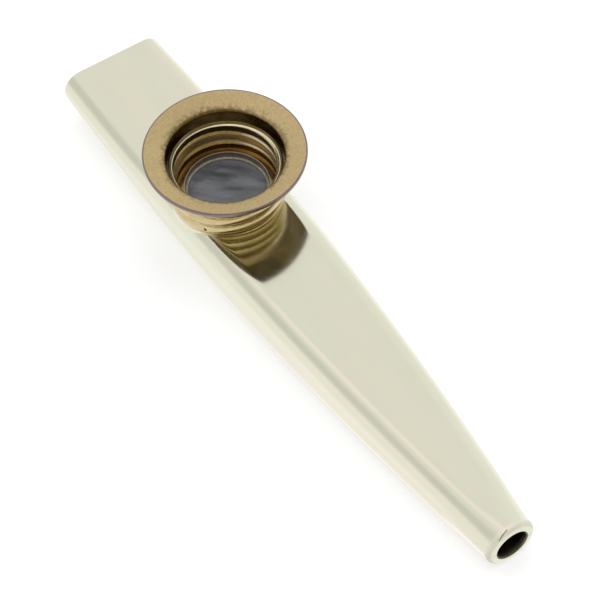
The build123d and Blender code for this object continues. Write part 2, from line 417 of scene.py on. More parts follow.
def seam_opening(body, x, rows):
    """Half the gap of the seam at each row: closed along the stations x, then rounded open over the lip."""
    past = np.clip(np.arange(rows) - len(x) + 1, 0, None) / (rows - len(x))
    return body.seam_gap + body.seam_notch * past**3


def roundness(body, x):
    """Share of the round spout in the section at x: 0 up to the nose, 1 from the spout on."""
    spout_x = body.outlet_x - body.spout_length
    return np.clip((x - spout_x) / body.nose_length + 1, 0, 1)


def half_outline(body, rows, inset, start, side):
    """One half of the section at each row, from its +Y seam over the crown to its -Y seam.

    A wall, a quarter circle and half a flat crown, mirrored. In the nose each point slides in a straight
    line to its partner on the spout's circle.
    """
    along, spout = (part[:, None] for part in rows)
    wall, corner = (np.linspace(0, 1, count, endpoint=False)[None] for count in (WALL_STEPS, CORNER_STEPS))
    flat = np.linspace(0, 1, CROWN_STEPS + 1)[None]
    begin = start[:, None]
    square_x = np.minimum(along, body.outlet_x - body.spout_length - body.nose_length)
    radius = body.edge_radius - inset
    width = half_width(body, square_x, inset)
    top = crown(body, square_x, inset, side)
    middle = top - side * radius
    turn = corner * QUARTER_TURN
    square_y = [width + 0 * wall, width - radius + radius * np.cos(turn), (width - radius) * (1 - flat)]
    square_z = [begin + (middle - begin) * wall, middle + side * radius * np.sin(turn), top + 0 * flat]
    first = np.arcsin(np.clip(side * (begin - body.outlet_radius) / spout, -1, 1))
    turns = np.concatenate([
        first + (body.outlet_flat - first) * wall,
        body.outlet_flat + (QUARTER_TURN - 2 * body.outlet_flat) * corner + 0 * begin,
        QUARTER_TURN - body.outlet_flat * (1 - flat) + 0 * begin,
    ], 1)
    round_y = spout * np.cos(turns)
    round_z = body.outlet_radius + side * spout * np.sin(turns)
    part = roundness(body, along)
    y = (1 - part) * np.concatenate(square_y, 1) + part * round_y
    z = (1 - part) * np.concatenate(square_z, 1) + part * round_z
    y = np.concatenate([y, -y[:, -2::-1]], 1)
    z = np.concatenate([z, z[:, -2::-1]], 1)
    return np.stack([along + 0 * y, y, z], -1)


def width_at(body, rows, z, inset):
    """Half the section's width at height z, drawn in by inset: the rounded box, the circle or between."""
    x, spout = (part[:, None] for part in rows)
    radius = body.edge_radius - inset
    square_x = np.minimum(x, body.outlet_x - body.spout_length - body.nose_length)
    over = z - crown(body, square_x, inset, 1) + radius
    under = crown(body, square_x, inset, -1) + radius - z
    past = np.clip(np.maximum(over, under), 0, radius)
    square = half_width(body, square_x, inset) - radius + np.sqrt(radius**2 - past**2)
    circle = np.sqrt(np.maximum(spout**2 - (z - body.outlet_radius) ** 2, 0))
    part = roundness(body, x)
    return (1 - part) * square + part * circle


def unrolled(body, x, y, z, inset):
    """Distance of each point from the roof's middle line, measured round the section: flat, corner, wall."""
    corner = body.edge_radius - inset
    flat = half_width(body, x, inset) - corner
    bend = corner * np.arcsin(np.clip((np.abs(y) - flat) / corner, 0, 1))
    wall = np.maximum(crown(body, x, inset, 1) - corner - z, 0)
    return np.sign(y) * (np.minimum(np.abs(y), flat) + bend + wall)


def rolled(body, x, across, inset):
    """Points on the section at x from their distances round it."""
    corner = body.edge_radius - inset
    flat = half_width(body, x, inset) - corner
    reach = np.abs(across)
    turn = np.clip((reach - flat) / corner, 0, QUARTER_TURN)
    wall = np.maximum(reach - flat - corner * QUARTER_TURN, 0)
    y = np.sign(across) * (np.minimum(reach, flat) + corner * np.sin(turn))
    return np.stack([x, y, crown(body, x, inset, 1) - corner * (1 - np.cos(turn)) - wall], -1)


def open_seat(body, axis_x, points, inset, radius):
    """Bends the grid of the upper half so that a block of its faces becomes an opening, round from above.

    Each point is written as its distance along the tube and its distance round the section. Square rings
    round the axis become circles at the block's border and fade back to squares outside it.
    """
    along, y, z = np.moveaxis(points, -1, 0)
    across = unrolled(body, along, y, z, inset)
    u = (along - axis_x) / body.seat_radius
    v = across / np.abs(across[:, WALL_STEPS + OPENING_STEP])[:, None]
    ring = np.maximum(np.abs(u), np.abs(v))
    edge = np.abs(v[:, :1])
    near = ease(2 - np.abs(u)) * ease((edge - np.abs(v)) / (edge - 1))
    turn = np.arctan2(v, u)
    hole_x = radius(turn) * np.cos(turn)
    hole = unrolled(body, axis_x + hole_x, radius(turn) * np.sin(turn), np.inf, inset)
    along = along + near * (axis_x + hole_x * ring - along)
    across = across + near * (hole * ring - across)
    return np.where((np.abs(u) < 2)[..., None], rolled(body, along, across, inset), points)


def block_border(first_row, last_row, first, last):
    """Rows and columns of the points round a block of a grid, in order."""
    across = np.arange(first, last)
    down = np.arange(first_row, last_row)
    rows = np.concatenate([0 * across + first_row, down, 0 * across + last_row, down[::-1] + 1])
    columns = np.concatenate([across, 0 * down + last, across[::-1] + 1, 0 * down + first])
    return rows, columns


def upper_shell_surface(body, turret):
    """Closed sheet of the upper half: outer and inner outlines carried along x, with the turret's seat.

    A block of faces under the turret is left out of both outlines. Loops of points lead from the outer
    opening down to the seat, in to the port, through the sheet and back out to the inner opening.
    """
    axis_x = turret.axis_x
    seat = body.seat_radius
    spout_x = body.outlet_x - body.spout_length
    marks = [body.mouth_x, axis_x - 2 * seat, axis_x - seat, axis_x + seat, axis_x + 2 * seat,
             spout_x - body.nose_length, spout_x, body.outlet_x - body.lip_round]
    x = stations(marks, SHELL_SPACING)
    outer_rows = shell_rows(body, x, 0)
    inner_rows = shell_rows(body, x, body.sheet)
    start = seam(body, outer_rows[0]) + seam_opening(body, x, len(outer_rows[0]))
    outer = half_outline(body, outer_rows, 0, start, 1)
    inner = half_outline(body, inner_rows, body.sheet, start, 1)
    outer = open_seat(body, axis_x, outer, 0, lambda turn: seat + 0 * turn)
    inner = open_seat(body, axis_x, inner, body.sheet, lambda turn: seat + body.sheet * np.cos(2 * turn))
    sheet = np.concatenate([outer, inner[:, ::-1]], 1)
    rows, columns = sheet.shape[:2]
    half = columns // 2
    points = sheet.reshape(-1, 3)
    grid = np.arange(len(points)).reshape(rows, columns)
    first_row = int(np.argmin(np.abs(x - axis_x + seat)))
    last_row = int(np.argmin(np.abs(x - axis_x - seat)))
    first = WALL_STEPS + OPENING_STEP
    last = half - 1 - first
    border_row, border_column = block_border(first_row, last_row, first, last)
    outer_loop = grid[border_row, border_column]
    inner_loop = grid[border_row, columns - 1 - border_column]
    axis = np.array([axis_x, 0, 0])
    flat = np.array([1, 1, 0])
    level = np.array([0, 0, body.height - body.seat_depth])
    under = level - [0, 0, body.sheet]
    spoke = points[outer_loop] * flat - axis
    port = axis + spoke * body.port_radius / np.hypot(spoke[:, 0], spoke[:, 1])[:, None]
    foot = points[outer_loop] * flat + level
    foot_under = points[inner_loop] * flat + under
    added = len(points) + np.arange(4 * len(outer_loop)).reshape(4, -1)
    seat_quads = loop_quads(np.stack([outer_loop, *added, inner_loop])).reshape(-1, 4)
    seat_finish = np.repeat([OUTSIDE, OUTSIDE, INSIDE, INSIDE, INSIDE], len(outer_loop))
    quads = loop_quads(grid)
    keep = np.ones(quads.shape[:2], bool)
    keep[first_row:last_row, first:last] = False
    keep[first_row:last_row, columns - 1 - last:columns - 1 - first] = False
    finish = np.full(quads.shape[:2], OUTSIDE)
    finish[:, half:columns - 1] = INSIDE
    finish[-HEM_STEPS:, :half] = INSIDE
    points = np.concatenate([points, foot, port + level, port + under, foot_under])
    quads = np.concatenate([quads[keep], seat_quads])
    return Surface(points, quads, np.concatenate([finish[keep], seat_finish]), columns)


def lower_shell_surface(body):
    """Closed sheet of the lower half: one profile, with its joggle and lap, carried along x.

    Behind the outlet's lip the lap first sinks to the seam and then moves out into the sheet.
    """
    spout_x = body.outlet_x - body.spout_length
    lip_x = body.outlet_x - body.lip_round
    x = stations([body.mouth_x, spout_x - body.nose_length, spout_x, lip_x], SHELL_SPACING)
    outer_rows = shell_rows(body, x, 0)
    inner_rows = shell_rows(body, x, body.sheet)
    level = seam(body, outer_rows[0])
    start = level - seam_opening(body, x, len(level))
    tall = ease((lip_x - outer_rows[0]) / body.lap_fade - 1)
    inward = ease((lip_x - outer_rows[0]) / body.lap_fade) * (body.sheet + body.lap_gap)
    top = start + (level + body.lap_height - start) * tall
    foot = start + (level - body.joggle_height - start) * tall
    outer = half_outline(body, outer_rows, 0, start, -1)
    inner = half_outline(body, inner_rows, body.sheet, foot, -1)
    part = np.linspace(0, 1, LAP_STEPS)[None]
    lap = []
    for rows, inset, low, high in ((outer_rows, 0, start, top), (inner_rows, body.sheet, top, foot)):
        z = low[:, None] + (high - low)[:, None] * part
        y = width_at(body, (rows[0], rows[1] - inward), z, inset + inward[:, None])
        lap.append(np.stack([rows[0][:, None] + 0 * y, -y, z], -1))
    lap = np.concatenate(lap, 1)
    ring = np.concatenate([outer, lap, inner[:, ::-1], lap[:, ::-1] * [1, -1, 1]], 1)
    columns = ring.shape[1]
    points = ring.reshape(-1, 3)
    quads = loop_quads(np.arange(len(points)).reshape(-1, columns))
    finish = np.full(quads.shape[:2], OUTSIDE)
    finish[:, outer.shape[1] + LAP_STEPS:columns - LAP_STEPS] = INSIDE
    finish[-HEM_STEPS:, :outer.shape[1]] = INSIDE
    return Surface(points, quads.reshape(-1, 4), finish.ravel(), columns)


def eased(corners, easing):
    """Profile of (radius, height) corners, each rounded by a parabola that starts easing away from it."""
    corners = np.array(corners)
    easing = np.broadcast_to(easing, len(corners))[:, None]
    first, last = (
        corners + side * np.minimum(easing / np.linalg.norm(side, axis=1)[:, None], EASE_LIMIT)
        for side in (np.roll(corners, 1, 0) - corners, np.roll(corners, -1, 0) - corners))
    t = np.linspace(0, 1, EASE_STEPS)[None, :, None]
    curve = (1 - t) ** 2 * first[:, None] + 2 * t * (1 - t) * corners[:, None] + t**2 * last[:, None]
    return curve.reshape(-1, 2)


def turn_angles():
    """Angles of the rows of a turned piece."""
    return np.linspace(0, FULL_TURN, TURN_STEPS, endpoint=False)[:, None]


def all_round(profile):
    """The same profile at every angle of a turned piece."""
    return np.tile(profile, (TURN_STEPS, 1))


def turned(axis_x, radius, height, finish):
    """Closed profile carried round the turret's axis; radius, height and finish may change with the turn."""
    turn = turn_angles()
    radius = radius + 0 * turn
    points = np.stack([axis_x + radius * np.cos(turn), radius * np.sin(turn), height + 0 * turn], -1)
    grid = np.arange(radius.size).reshape(radius.shape)
    quads = loop_quads(np.concatenate([grid, grid[:1]]))
    return Surface(points.reshape(-1, 3), quads.reshape(-1, 4), np.broadcast_to(finish, grid.shape).ravel())


def helix_phase(height, pitch):
    """Turns of a right-hand screw between its groove and each height, at each angle."""
    return height / pitch - turn_angles() / FULL_TURN


def collar_surface(body, turret):
    """Drawn socket: beads wound as a screw round a tube, above a floor with a rolled-over neck.

    Each bead bulges as a parabola between two grooves, and fades out at both ends of the tube. The pit is a
    bell-shaped dent whose faces are dark brass, painted as shade.
    """
    root = COLLAR_CREST - turret.collar_rise
    seat = body.height - body.seat_depth
    height = np.linspace(seat, COLLAR_HIGH.z, THREAD_STEPS)[None]
    above = height - body.height
    phase = helix_phase(above - turret.collar_start, turret.pitch) % 1
    bead = 4 * phase * (1 - phase)
    fade = turret.pitch / THREAD_FADE
    blend = ease((height - seat) / fade) * ease((COLLAR_HIGH.z - height) / fade)
    wall = root + turret.collar_rise * (bead * blend + (1 - blend) / 2)
    pit_turn = (turn_angles() - turret.pit_turn + math.pi) % FULL_TURN - math.pi
    pit_away = (COLLAR_CREST * pit_turn) ** 2 + (above - turret.pit_height) ** 2
    pit = np.exp(-pit_away / turret.pit_radius**2)
    neck = body.port_radius - turret.neck_gap
    foot = np.array([
        (neck - turret.sheet, seat + turret.sheet),
        (neck - turret.sheet, COLLAR_LOW.z),
        (body.port_radius + turret.neck_lip, COLLAR_LOW.z),
        (body.port_radius + turret.neck_lip, COLLAR_LOW.z + turret.sheet),
        (neck, COLLAR_LOW.z + turret.sheet),
        (neck, seat),
    ])
    inside = wall[:, ::-1] - turret.sheet
    inside_height = np.maximum(height[:, ::-1], seat + turret.sheet)
    radius = np.concatenate([wall - turret.pit_depth * pit, inside, all_round(foot[:, 0])], 1)
    heights = np.concatenate([height, inside_height, foot[None, :, 1]], 1)
    finish = np.full(radius.shape, BEAD)
    # Faces deep in the pit get dark brass: painted shade
    finish[:, :THREAD_STEPS] = np.where(pit > PIT_SHARE, PIT_SHADE, BEAD)
    return turned(turret.axis_x, radius, heights, finish)


def cap_surface(body, turret):
    """Screw cap: inward ridges wound as a screw, a step, a straight throat, a flare and a folded rim.

    A ridge is a bell curve across the screw's line. The grooves near the throat, the throat's step, the
    throat, the hem and the flare's underside are dark brass, painted as shade.
    """
    rim = CAP_HIGH.z
    edge_height = rim - turret.flare_rise
    height = np.linspace(CAP_LOW.z, edge_height - turret.edge_ease, THREAD_STEPS)[None]
    above = height - body.height
    phase = helix_phase(above - turret.ridge_start, turret.pitch)
    off = turret.pitch * ((phase + 0.5) % 1 - 0.5)
    rise = ease((above - turret.throat_low) / turret.throat_step)
    fade = ease((above - turret.thread_low) / turret.pitch * THREAD_FADE) * (1 - rise)
    screw = np.exp(-((off / turret.ridge_width) ** 2)) * fade
    lip = np.exp(-(((above - turret.lip_height) / turret.ridge_width) ** 2))
    crest = np.maximum(screw, lip)
    opening = turret.throat_slope * np.maximum(above - turret.throat_low, 0)
    whole = turret.throat_slope * (edge_height - body.height - turret.throat_low)
    step = turret.throat_edge - turret.bore - whole
    inside = turret.bore + opening + step * rise - turret.ridge * crest
    outside = inside + turret.sheet
    rim_radius = (CAP_HIGH.x - CAP_LOW.x) / 2
    hem = rim_radius - turret.hem_width
    hem_height = rim - turret.hem_width * turret.flare_rise / (rim_radius - turret.throat_edge)
    flare_corners = [
        (turret.throat_edge, edge_height),
        (rim_radius, rim),
        (rim_radius, rim - turret.rim_fold),
        (hem, hem_height - turret.rim_fold),
        (hem, hem_height - turret.sheet),
        (turret.throat_edge + turret.sheet, edge_height - turret.sheet),
    ]
    tube_end = [(wall[0, -1], height[0, -1]) for wall in (outside, inside)]
    fold = turret.sheet / 3
    easing = [turret.edge_ease, turret.rim_ease, turret.rim_ease, fold, fold, turret.sheet, 0, 0]
    flare = eased(flare_corners + tube_end, easing)[:len(flare_corners) * EASE_STEPS]
    radius = np.concatenate([inside, all_round(flare[:, 0]), outside[:, ::-1]], 1)
    heights = np.concatenate([height, flare[None, :, 1], height[:, ::-1]], 1)
    groove = (crest < GROOVE_SHARE) & (above > turret.tarnish_low) & (above < turret.throat_low)
    rim_start = THREAD_STEPS + EASE_STEPS
    under_start = rim_start + EASE_STEPS * 3 // 2
    finish = np.full(radius.shape, RIDGE)
    # Grooves near the throat, the throat's step and the throat get dark brass: painted shade
    finish[:, :THREAD_STEPS] = np.where(groove | (rise > STEP_SHARE), PAINTED_SHADE, RIDGE)
    finish[:, THREAD_STEPS:rim_start] = FLARE
    finish[:, rim_start:under_start] = RIM
    # The rest of the rim's fold, the hem and the flare's underside get dark brass: painted shade
    finish[:, under_start:THREAD_STEPS + len(flare)] = PAINTED_SHADE
    return turned(turret.axis_x, radius, heights, finish)


def ring_surface(turret, low, high, bore, easing, bore_finish):
    """Flat ring with eased edges, turned round the turret's axis."""
    radius = (high.x - low.x) / 2
    profile = eased([(bore, low.z), (radius, low.z), (radius, high.z), (bore, high.z)], easing)
    finish = np.full(len(profile), FACE)
    finish[:EASE_STEPS] = bore_finish
    finish[-EASE_STEPS:] = bore_finish
    return turned(turret.axis_x, profile[:, 0], profile[:, 1], finish)


def film_surface(turret, flat_radius):
    """Thin disc whose free middle is lifted by a few crossing waves that die out at the card ring."""
    out = np.linspace(0, (FILM_HIGH.x - FILM_LOW.x) / 2, FILM_STEPS)[None]
    x = out * np.cos(turn_angles()) / flat_radius
    y = out * np.sin(turn_angles()) / flat_radius
    fold = sum(part * np.sin(by_x * x + by_y * y + phase) for by_x, by_y, phase, part in FILM_FOLDS)
    lift = turret.crease_height * fold * ease((flat_radius - out) / flat_radius * FOLD_FADE)
    radius = np.concatenate([out, out[:, ::-1]], 1)
    height = np.concatenate([FILM_HIGH.z + lift, FILM_LOW.z + lift[:, ::-1]], 1)
    return turned(turret.axis_x, radius, height, FACE)


def fill_sockets(tree, node, sockets):
    """Sets or links a node's input sockets, by name or number."""
    for key, value in sockets.items():
        if isinstance(value, bpy.types.NodeSocket):
            tree.links.new(value, node.inputs[key])
        else:
            node.inputs[key].default_value = value


def add_node(tree, kind, sockets, **settings):
    """Adds a node with its settings and its input sockets, and gives its outputs."""
    node = tree.nodes.new(kind)
    for key, value in settings.items():
        setattr(node, key, value)
    fill_sockets(tree, node, sockets)
    return node.outputs


def maths(tree, operation, first, second):
    """Output of a Math node."""
    return add_node(tree, "ShaderNodeMath", {0: first, 1: second}, operation=operation)[0]


def vector_maths(tree, operation, first, second=(0.0, 0.0, 0.0)):
    """Outputs of a Vector Math node: a vector, then a value. To scale, the second input is a value."""
    place = "Scale" if operation == "SCALE" else 1
    return add_node(tree, "ShaderNodeVectorMath", {0: first, place: second}, operation=operation)


def separate(tree, vector):
    """The three parts of a vector."""
    return add_node(tree, "ShaderNodeSeparateXYZ", {0: vector})


def spread_range(tree, value, low, high, to_low=0.0, to_high=1.0):
    """Output of a Map Range node that clamps."""
    sockets = {"Value": value, "From Min": low, "From Max": high, "To Min": to_low, "To Max": to_high}
    return add_node(tree, "ShaderNodeMapRange", sockets)["Result"]


def band(tree, value, start, full, fall, end):
    """Mask that climbs from start to full and falls off again from fall to end."""
    rising = spread_range(tree, value, start, full)
    return maths(tree, "MULTIPLY", rising, spread_range(tree, value, end, fall))


def mix_colours(tree, factor, first, second):
    """Output of a colour Mix node."""
    return add_node(tree, "ShaderNodeMix", {0: factor, 6: first, 7: second}, data_type="RGBA")[2]


def noise(tree, vector, scale, detail=3.0, roughness=0.5):
    """Output of a Noise Texture."""
    sockets = {"Vector": vector, "Scale": scale, "Detail": detail, "Roughness": roughness}
    return add_node(tree, "ShaderNodeTexNoise", sockets)["Fac"]


def mapped(tree, vector, **sockets):
    """Coordinates moved or drawn out by a Mapping node."""
    return add_node(tree, "ShaderNodeMapping", {"Vector": vector, **sockets})[0]


def built_once(build):
    """Wraps a function that builds a node group, so that later calls give the group that is there."""
    @functools.wraps(build)
    def group():
        return bpy.data.node_groups.get(build.__name__) or build(build.__name__)
    return group


def new_group(name, inputs, outputs):
    """Empty shader node group with named sockets; gives the tree, what it is given and its output node."""
    tree = bpy.data.node_groups.new(name, "ShaderNodeTree")
    kinds = {"value": "NodeSocketFloat", "colour": "NodeSocketColor", "vector": "NodeSocketVector"}
    for direction, sockets in (("INPUT", inputs), ("OUTPUT", outputs)):
        for socket, kind in sockets.items():
            tree.interface.new_socket(socket, in_out=direction, socket_type=kinds[kind])
    return tree, tree.nodes.new("NodeGroupInput").outputs, tree.nodes.new("NodeGroupOutput")


@built_once
def mottle_group(name):
    """Soft patches of two colours, as on old polished sheet."""
    inputs = {"Vector": "vector", "Colour": "colour", "Shade": "colour", "Scale": "value", "Amount": "value"}
    tree, given, out = new_group(name, inputs, {"Colour": "colour"})
    patches = noise(tree, given["Vector"], given["Scale"], 4.0, 0.6)
    mask = maths(tree, "MULTIPLY", spread_range(tree, patches, 0.35, 0.68), given["Amount"])
    fill_sockets(tree, out, {"Colour": mix_colours(tree, mask, given["Colour"], given["Shade"])})
    return tree


@built_once
def grain_group(name):
    """Fine grain of a blasted or handled surface: a roughness that wanders, a mask and a height."""
    inputs = {"Vector": "vector", "Scale": "value", "Roughness": "value", "Spread": "value"}
    tree, given, out = new_group(name, inputs, {"Roughness": "value", "Mask": "value", "Height": "value"})
    fine = noise(tree, given["Vector"], given["Scale"], 2.0, 0.6)
    coarse = noise(tree, given["Vector"], maths(tree, "MULTIPLY", given["Scale"], 0.13))
    wander = maths(tree, "SUBTRACT", maths(tree, "ADD", fine, coarse), 1.0)
    rough = maths(tree, "ADD", given["Roughness"], maths(tree, "MULTIPLY", wander, given["Spread"]))
    mask = spread_range(tree, fine, 0.35, 0.65)
    fill_sockets(tree, out, {"Roughness": rough, "Mask": mask, "Height": fine})
    return tree


@built_once
def turned_lines_group(name):
    """Fine lines that run round the turret's axis, broken along their length, as rolling leaves them."""
    inputs = {"Vector": "vector", "Axis": "vector", "Lines": "value", "Length": "value"}
    tree, given, out = new_group(name, inputs, {"Mask": "value", "Height": "value", "Radius": "value"})
    offset = vector_maths(tree, "SUBTRACT", given["Vector"], given["Axis"])[0]
    level = vector_maths(tree, "MULTIPLY", offset, (1.0, 1.0, 0.0))[0]
    radius = vector_maths(tree, "LENGTH", level)[1]
    bearing = vector_maths(tree, "NORMALIZE", level)[0]
    around = separate(tree, vector_maths(tree, "SCALE", bearing, given["Length"])[0])
    height = separate(tree, given["Vector"])[2]
    along = maths(tree, "MULTIPLY", maths(tree, "ADD", height, radius), given["Lines"])
    place = add_node(tree, "ShaderNodeCombineXYZ", {0: around[0], 1: around[1], 2: along})[0]
    lines = noise(tree, place, 1.0, 3.0, 0.65)
    mask = spread_range(tree, lines, 0.5, 0.72)
    fill_sockets(tree, out, {"Mask": mask, "Height": lines, "Radius": radius})
    return tree


@built_once
def worn_edge_group(name):
    """Another colour close to an edge, ragged by noise: wear at the tin's cut mouth edge, painted shade where
    the flare runs into the throat.
    """
    inputs = {"Vector": "vector", "Distance": "value", "Reach": "value", "Colour": "colour", "Edge": "colour"}
    tree, given, out = new_group(name, inputs, {"Colour": "colour"})
    ragged = spread_range(tree, noise(tree, given["Vector"], 1400.0), 0.3, 0.7, 0.4, 1.2)
    away = maths(tree, "DIVIDE", given["Distance"], maths(tree, "MULTIPLY", given["Reach"], ragged))
    mask = spread_range(tree, maths(tree, "SUBTRACT", 1.0, away), 0.0, 1.0)
    fill_sockets(tree, out, {"Colour": mix_colours(tree, mask, given["Colour"], given["Edge"])})
    return tree


@built_once
def crease_group(name):
    """Painted shade of a crease, as a dark line along a straight stretch: 1 on the line from Start to End,
    fading out at Width from it.
    """
    inputs = {"Vector": "vector", "Start": "vector", "End": "vector", "Width": "value"}
    tree, given, out = new_group(name, inputs, {"Mask": "value"})
    place = vector_maths(tree, "SUBTRACT", given["Vector"], given["Start"])[0]
    whole = vector_maths(tree, "SUBTRACT", given["End"], given["Start"])[0]
    reach = vector_maths(tree, "DOT_PRODUCT", place, whole)[1]
    along = maths(tree, "DIVIDE", reach, vector_maths(tree, "DOT_PRODUCT", whole, whole)[1])
    nearest = vector_maths(tree, "SCALE", whole, spread_range(tree, along, 0.0, 1.0))[0]
    gap = maths(tree, "DIVIDE", vector_maths(tree, "DISTANCE", place, nearest)[1], given["Width"])
    fill_sockets(tree, out, {"Mask": spread_range(tree, gap, 1.0, 0.4)})
    return tree


def use_group(tree, group, sockets):
    """Places a node group and gives its outputs."""
    return add_node(tree, "ShaderNodeGroup", sockets, node_tree=group)


def opaque(colour):
    """Colour property as four numbers."""
    return (*colour, 1.0)


def new_material(name):
    """New material; gives it, its node tree and its object coordinates."""
    material = bpy.data.materials.new(name)
    material.use_nodes = True
    tree = material.node_tree
    return material, tree, tree.nodes.new("ShaderNodeTexCoord").outputs["Object"]


def finished(material, sockets):
    """The material, with the sockets of its Principled shader filled."""
    tree = material.node_tree
    fill_sockets(tree, tree.nodes["Principled BSDF"], sockets)
    return material


def bump(tree, height, strength, distance):
    """Normal from a Bump node."""
    return add_node(tree, "ShaderNodeBump", {"Height": height, "Strength": strength, "Distance": distance})[0]


def crease_points(body):
    """Ends and middle of the crease on the rounded lip, from its places along X and its bearings."""
    part = np.array([0, 0.5, 1])
    x = body.outlet_x - body.crease_start + (body.crease_start - body.crease_end) * part
    bearing = body.crease_turn + body.crease_reach * part
    past = np.clip(x - body.outlet_x + body.lip_round, 0, None)
    radius = body.outlet_radius - body.lip_round + np.sqrt(body.lip_round**2 - past**2)
    return np.stack([x, radius * np.cos(bearing), body.outlet_radius + radius * np.sin(bearing)], 1)


def tin_material(finish, body):
    """Polished tinplate: soft patches, rubbing marks, a duller mouth edge, a paler, less metallic lip that is
    partly its own finish and partly a painted highlight, and the painted shade of one crease.
    """
    material, tree, place = new_material("polished_tin")
    drawn_out = mapped(tree, place, Scale=(0.2, 1.0, 1.0))
    along = separate(tree, place)[0]
    bend_x = body.outlet_x - body.lip_round
    lip_edges = [*(bend_x + fade for fade in LIP_START), *(body.outlet_x + fade for fade in LIP_END)]
    lip = band(tree, along, *lip_edges)
    colour = opaque(finish.tin)
    for shade, scale in ((finish.tin_shade, 170.0), (finish.tin_warm, 110.0)):
        colour = use_group(tree, mottle_group(), {
            "Vector": drawn_out, "Colour": colour, "Shade": opaque(shade), "Scale": scale, "Amount": 0.8,
        })["Colour"]
    colour = use_group(tree, worn_edge_group(), {
        "Vector": place, "Distance": maths(tree, "SUBTRACT", along, body.mouth_x), "Reach": 0.00025,
        "Colour": colour, "Edge": opaque(finish.tin_edge),
    })["Colour"]
    # The lip's paler, less metallic colour is partly its own finish and partly a painted highlight
    colour = mix_colours(tree, lip, colour, opaque(finish.lip))
    # The crease is darkened with the inside tin's colour: painted shade
    ends = crease_points(body)
    for start, end in zip(ends, ends[1:]):
        sockets = {"Vector": place, "Start": start, "End": end, "Width": body.crease_width}
        crease_shade = use_group(tree, crease_group(), sockets)["Mask"]
        colour = mix_colours(tree, crease_shade, colour, opaque(finish.tin_inside))
    satin = spread_range(tree, lip, 0.0, 1.0, finish.tin_gloss, finish.lip_gloss)
    sockets = {"Vector": place, "Scale": 900.0, "Roughness": satin, "Spread": 0.06}
    return finished(material, {
        "Base Color": colour,
        "Roughness": use_group(tree, grain_group(), sockets)["Roughness"],
        "Metallic": spread_range(tree, lip, 0.0, 1.0, 1.0, 0.25),
        "Normal": bump(tree, noise(tree, place, 160.0, 2.0), 0.03, 0.0002),
    })


def tin_inside_material(finish):
    """Dull tinplate inside the tube, its dark colour partly painted shade of the hollow."""
    material, tree, place = new_material("dull_shaded_tin")
    colour = use_group(tree, mottle_group(), {
        "Vector": place, "Colour": opaque(finish.tin_inside), "Shade": opaque(finish.inside_shade),
        "Scale": 240.0, "Amount": 1.0,
    })["Colour"]
    sockets = {"Vector": place, "Scale": 1500.0, "Roughness": 0.5, "Spread": 0.2}
    grain = use_group(tree, grain_group(), sockets)
    return finished(material, {
        "Base Color": colour,
        "Roughness": grain["Roughness"],
        "Metallic": 1.0,
        "Normal": bump(tree, grain["Height"], 0.2, 0.00005),
    })


def rolled_brass_material(name, colour, shade, gloss, axis_x, scratch):
    """Rolled brass: tarnish in patches, and fine broken lines round the turret."""
    material, tree, place = new_material(name)
    tone = use_group(tree, mottle_group(), {
        "Vector": place, "Colour": opaque(colour), "Shade": opaque(shade), "Scale": 420.0, "Amount": 0.4,
    })["Colour"]
    sockets = {"Vector": place, "Axis": (axis_x, 0.0, 0.0), "Lines": 9000.0, "Length": 7.0}
    lines = use_group(tree, turned_lines_group(), sockets)
    rubbed = [min(1.0, part * RUBBED_GAIN) for part in colour]
    wear = maths(tree, "MULTIPLY", lines["Mask"], scratch)
    rough = [gloss * part for part in RUBBED_ROUGHNESS]
    return finished(material, {
        "Base Color": mix_colours(tree, wear, tone, opaque(rubbed)),
        "Roughness": spread_range(tree, lines["Height"], 0.3, 0.7, *rough),
        "Metallic": 1.0,
        "Normal": bump(tree, lines["Height"], 0.25 * scratch, 0.00004),
    })


def flare_material(finish, turret):
    """Blasted brass: matte, with a fine dark and light grain, and painted shade darkening it towards the
    throat.
    """
    material, tree, place = new_material("blasted_brass")
    sockets = {"Vector": place, "Scale": 2600.0, "Roughness": finish.flare_gloss, "Spread": 0.12}
    grain = use_group(tree, grain_group(), sockets)
    speckle = maths(tree, "MULTIPLY", grain["Mask"], 0.55)
    colour = mix_colours(tree, speckle, opaque(finish.flare), opaque(finish.flare_shade))
    sockets = {"Vector": place, "Axis": (turret.axis_x, 0.0, 0.0), "Lines": 6000.0, "Length": 10.0}
    radius = use_group(tree, turned_lines_group(), sockets)["Radius"]
    # The flare darkens towards the throat in the underside's dark brass: painted shade
    colour = use_group(tree, worn_edge_group(), {
        "Vector": place, "Distance": maths(tree, "SUBTRACT", radius, turret.throat_edge - turret.edge_ease),
        "Reach": 0.002, "Colour": colour, "Edge": opaque(finish.under),
    })["Colour"]
    return finished(material, {
        "Base Color": colour,
        "Roughness": grain["Roughness"],
        "Metallic": 1.0,
        "Normal": bump(tree, grain["Height"], 0.35, 0.00006),
    })


def rim_material(name, colour, rubbed, axis_x):
    """Oxidised edge: dark metal rubbed along its length."""
    material, tree, place = new_material(name)
    sockets = {"Vector": place, "Axis": (axis_x, 0.0, 0.0), "Lines": 6000.0, "Length": 14.0}
    lines = use_group(tree, turned_lines_group(), sockets)
    wear = maths(tree, "MULTIPLY", lines["Mask"], 0.6)
    return finished(material, {
        "Base Color": mix_colours(tree, wear, opaque(colour), opaque(rubbed)),
        "Roughness": spread_range(tree, lines["Height"], 0.3, 0.7, 0.25, 0.5),
        "Metallic": 1.0,
    })


def card_material(finish):
    """Pale card with short fibres."""
    material, tree, place = new_material("ring_card")
    sockets = {"Vector": place, "Scale": 2200.0, "Roughness": 0.8, "Spread": 0.1}
    grain = use_group(tree, grain_group(), sockets)
    return finished(material, {
        "Base Color": mix_colours(tree, grain["Mask"], opaque(finish.card), opaque(finish.card_shade)),
        "Roughness": grain["Roughness"],
        "Normal": bump(tree, grain["Height"], 0.4, 0.00005),
    })


